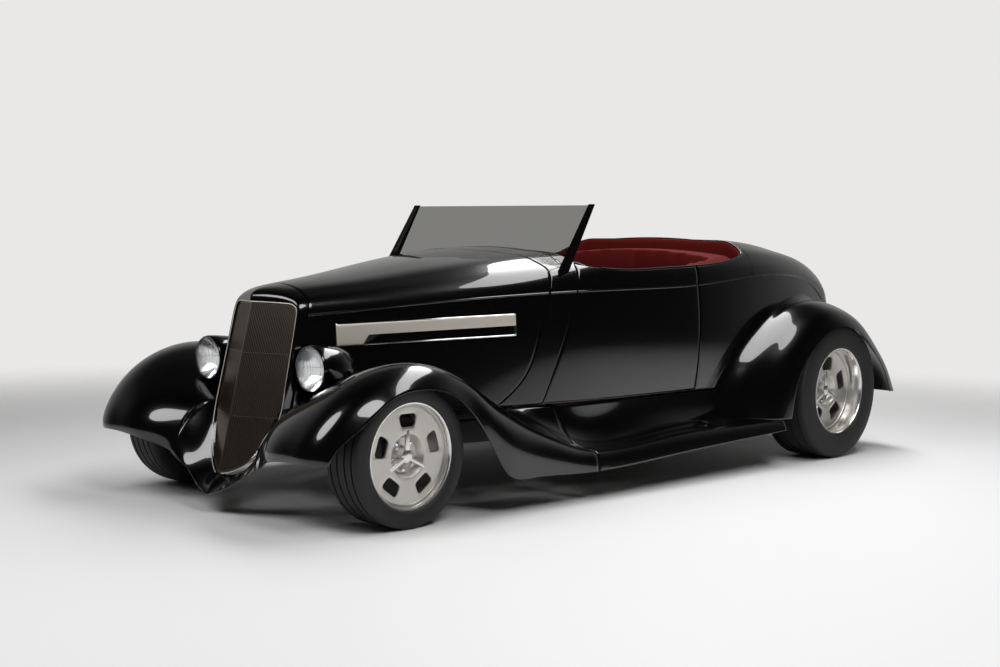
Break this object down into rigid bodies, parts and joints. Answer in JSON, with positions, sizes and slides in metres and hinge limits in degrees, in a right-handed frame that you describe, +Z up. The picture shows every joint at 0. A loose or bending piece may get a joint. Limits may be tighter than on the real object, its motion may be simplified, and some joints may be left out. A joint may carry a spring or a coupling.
{
  "type": "roadster",
  "caption": "Low two-seat roadster in gloss black with a raked vee grille, separate fenders, running boards, rear-hinged doors, five-window wheels and a red bench cockpit",
  "frame": {"origin": "on the floor, at the middle of the overall length and width", "axes": "+X forward, +Y to the car's left, +Z up"},
  "size_m": [3.9649, 1.7722, 1.2759],
  "materials": {
    "gloss_black": "polished black paint",
    "satin_black": "satin black",
    "red_leather": "smooth red leather",
    "satin_nickel": "satin nickel",
    "dark_steel": "dark stainless",
    "grey_iron": "grey casting",
    "clear_glass": "clear",
    "tinted_glass": "grey tint",
    "red_lens": "red lens",
    "black_leather": "black leather",
    "tyre": "matt rubber",
    "satin_alloy": "satin with polished lips"
  },
  "bodies": {
    "chassis": {"frame_rails": "satin_black", "crossmembers": "satin_black", "floor_pan": "satin_black", "cowl": "gloss_black", "rear_body": "gloss_black", "hood_sides": "gloss_black", "hood_trims": "satin_nickel", "grille_shell": "gloss_black", "grille_bars": "dark_steel", "radiator": "grey_iron", "front_fender_left": "gloss_black", "front_fender_right": "gloss_black", "running_boards": "gloss_black", "rear_fender_left": "gloss_black", "rear_fender_right": "gloss_black", "headlamp_buckets": "gloss_black", "headlamp_lenses": "clear_glass", "windshield_posts": "satin_black", "windshield_glass": "tinted_glass", "dash": "satin_black", "steering_column": "satin_black", "seat_cushion": "red_leather", "seat_back": "red_leather", "engine": "grey_iron", "driveshaft": "dark_steel", "front_axle": "dark_steel", "radius_rods": "dark_steel", "rear_axle": "grey_iron", "spring_units": "satin_black", "exhaust_pipes": "dark_steel", "fuel_tank": "satin_black", "tail_lamps": "red_lens"},
    "hood": {"hood_top": "gloss_black"},
    "door_left": {"door_left": "gloss_black", "door_trim_left": "red_leather"},
    "door_right": {"door_right": "gloss_black", "door_trim_right": "red_leather"},
    "deck": {"deck_lid": "gloss_black"},
    "steering_wheel": {"steering_wheel": "black_leather"},
    "knuckle_left": {"knuckle_left": "dark_steel"},
    "knuckle_right": {"knuckle_right": "dark_steel"},
    "tie_rod": {"tie_rod": "dark_steel"},
    "front_wheel_left": {"front_tyre_left": "tyre", "front_wheel_left": "satin_alloy"},
    "front_wheel_right": {"front_tyre_right": "tyre", "front_wheel_right": "satin_alloy"},
    "rear_wheel_left": {"rear_tyre_left": "tyre", "rear_wheel_left": "satin_alloy"},
    "rear_wheel_right": {"rear_tyre_right": "tyre", "rear_wheel_right": "satin_alloy"}
  },
  "joints": [
    {"name": "steer_left", "type": "hinge", "parent": "chassis", "child": "knuckle_left", "pos_m": [1.5302, 0.612, 0.282], "axis": [0, 0, 1], "range_deg": [-30, 30]},
    {"name": "steer_right", "type": "hinge", "parent": "chassis", "child": "knuckle_right", "pos_m": [1.5302, -0.612, 0.282], "axis": [0, 0, 1], "range_deg": [-30, 30]},
    {"name": "tie_rod_swing", "type": "hinge", "parent": "knuckle_left", "child": "tie_rod", "pos_m": [1.4002, 0.612, 0.205], "axis": [0, 0, 1], "range_deg": [-30, 30]},
    {"name": "steering_wheel_turn", "type": "hinge", "parent": "chassis", "child": "steering_wheel", "pos_m": [0.0402, 0.32, 0.85], "axis": [-0.8829, 0, 0.4695], "range_deg": [-420, 420]},
    {"name": "front_wheel_left_spin", "type": "hinge", "parent": "knuckle_left", "child": "front_wheel_left", "pos_m": [1.5302, 0.698, 0.282], "axis": [0, 1, 0], "continuous": true},
    {"name": "front_wheel_right_spin", "type": "hinge", "parent": "knuckle_right", "child": "front_wheel_right", "pos_m": [1.5302, -0.698, 0.282], "axis": [0, 1, 0], "continuous": true},
    {"name": "rear_wheel_left_spin", "type": "hinge", "parent": "chassis", "child": "rear_wheel_left", "pos_m": [-1.3658, 0.745, 0.347], "axis": [0, 1, 0], "continuous": true},
    {"name": "rear_wheel_right_spin", "type": "hinge", "parent": "chassis", "child": "rear_wheel_right", "pos_m": [-1.3658, -0.745, 0.347], "axis": [0, 1, 0], "continuous": true},
    {"name": "door_left_swing", "type": "hinge", "parent": "chassis", "child": "door_left", "pos_m": [-0.4133, 0.6815, 0.7], "axis": [0, 0, 1], "range_deg": [0, 65]},
    {"name": "door_right_swing", "type": "hinge", "parent": "chassis", "child": "door_right", "pos_m": [-0.4133, -0.6815, 0.7], "axis": [0, 0, -1], "range_deg": [0, 65]},
    {"name": "hood_lift", "type": "hinge", "parent": "chassis", "child": "hood", "pos_m": [0.5287, 0, 1.0665], "axis": [0, -1, 0], "range_deg": [0, 45]},
    {"name": "deck_lift", "type": "hinge", "parent": "chassis", "child": "deck", "pos_m": [-1.0333, 0, 1.1225], "axis": [0, 1, 0], "range_deg": [0, 55]}
  ],
  "couplings": [
    {"joint": "steer_right", "follows": "steer_left", "ratio": 1},
    {"joint": "tie_rod_swing", "follows": "steer_left", "ratio": -1},
    {"joint": "steering_wheel_turn", "follows": "steer_left", "ratio": 14}
  ]
}
